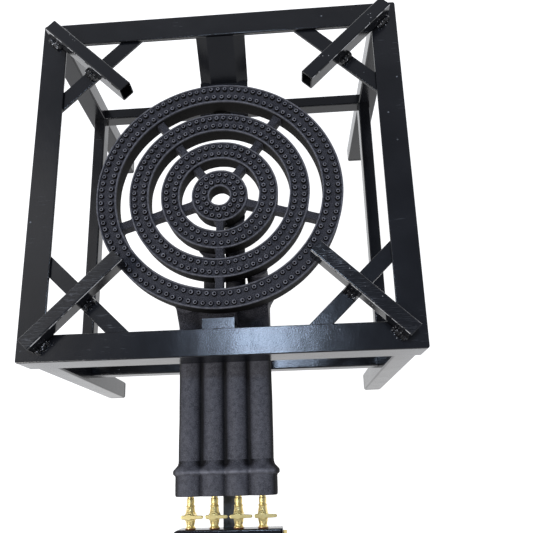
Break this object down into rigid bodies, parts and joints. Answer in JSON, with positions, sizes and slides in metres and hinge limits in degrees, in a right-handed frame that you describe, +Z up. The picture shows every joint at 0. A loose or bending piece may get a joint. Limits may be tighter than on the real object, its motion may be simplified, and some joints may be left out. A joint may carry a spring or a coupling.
{
  "type": "gas burner stand",
  "caption": "Square welded steel stand with a round cast-iron ring gas burner, mixer tubes and brass quarter-turn taps on a gas rail.",
  "frame": {"origin": "on the floor, under the middle of the whole outline from the gas rail to the back of the stand; the stand's centre lies 100 mm behind it", "axes": "+Z up, +X to the right, -Y towards the taps and the gas rail"},
  "size_m": [0.43, 0.63, 0.281],
  "materials": {
    "black_paint": "gloss",
    "weld_paint": "gloss",
    "cast_iron": "matte",
    "brass": "satin",
    "zinc_steel": "satin",
    "spring_steel": "satin",
    "black_plastic": "matte"
  },
  "bodies": {
    "stand": {"top_frame_front": "black_paint", "top_frame_right": "black_paint", "top_frame_back": "black_paint", "top_frame_left": "black_paint", "leg_front_left": "black_paint", "leg_front_right": "black_paint", "leg_back_right": "black_paint", "leg_back_left": "black_paint", "leg_end_plugs": "black_plastic", "lower_rail_front": "black_paint", "lower_rail_right": "black_paint", "lower_rail_back": "black_paint", "lower_rail_left": "black_paint", "corner_brace_front_left": "black_paint", "corner_brace_front_right": "black_paint", "corner_brace_back_right": "black_paint", "corner_brace_back_left": "black_paint", "pot_support_front_left": "black_paint", "pot_support_front_right": "black_paint", "pot_support_back_right": "black_paint", "pot_support_back_left": "black_paint", "pot_support_welds": "weld_paint", "burner_ring_outer": "cast_iron", "burner_cover_outer": "cast_iron", "burner_ring_second": "cast_iron", "burner_cover_second": "cast_iron", "burner_ring_third": "cast_iron", "burner_cover_third": "cast_iron", "burner_ring_centre": "cast_iron", "burner_cover_centre": "cast_iron", "burner_bridges": "cast_iron", "mixer_tube_1": "cast_iron", "mixer_tube_2": "cast_iron", "mixer_tube_3": "cast_iron", "mixer_tube_4": "cast_iron", "burner_neck": "cast_iron", "bell_mouth_block": "cast_iron", "rear_burner_bracket": "black_paint", "front_burner_bracket": "black_paint", "rear_burner_bolt": "zinc_steel", "front_burner_bolt": "zinc_steel", "tap_body_1": "brass", "tap_body_2": "brass", "tap_body_3": "brass", "tap_body_4": "brass", "tap_spring_washers": "spring_steel", "tap_bottom_caps": "brass", "gas_jets": "brass", "gas_rail": "black_paint", "gas_inlet_nipple": "brass", "rail_strap": "black_paint", "strap_screws": "zinc_steel"},
    "tap_handle_1": {"tap_plug_1": "brass", "tap_lever_1": "brass"},
    "tap_handle_2": {"tap_plug_2": "brass", "tap_lever_2": "brass"},
    "tap_handle_3": {"tap_plug_3": "brass", "tap_lever_3": "brass"},
    "tap_handle_4": {"tap_plug_4": "brass", "tap_lever_4": "brass"}
  },
  "joints": [
    {"name": "tap_1_turn", "type": "hinge", "parent": "stand", "child": "tap_handle_1", "pos_m": [-0.039, -0.277, 0.2157], "axis": [0, 0, 1], "range_deg": [0, 90]},
    {"name": "tap_2_turn", "type": "hinge", "parent": "stand", "child": "tap_handle_2", "pos_m": [-0.013, -0.277, 0.2157], "axis": [0, 0, 1], "range_deg": [0, 90]},
    {"name": "tap_3_turn", "type": "hinge", "parent": "stand", "child": "tap_handle_3", "pos_m": [0.013, -0.277, 0.2157], "axis": [0, 0, 1], "range_deg": [0, 90]},
    {"name": "tap_4_turn", "type": "hinge", "parent": "stand", "child": "tap_handle_4", "pos_m": [0.039, -0.277, 0.2157], "axis": [0, 0, 1], "range_deg": [0, 90]}
  ]
}
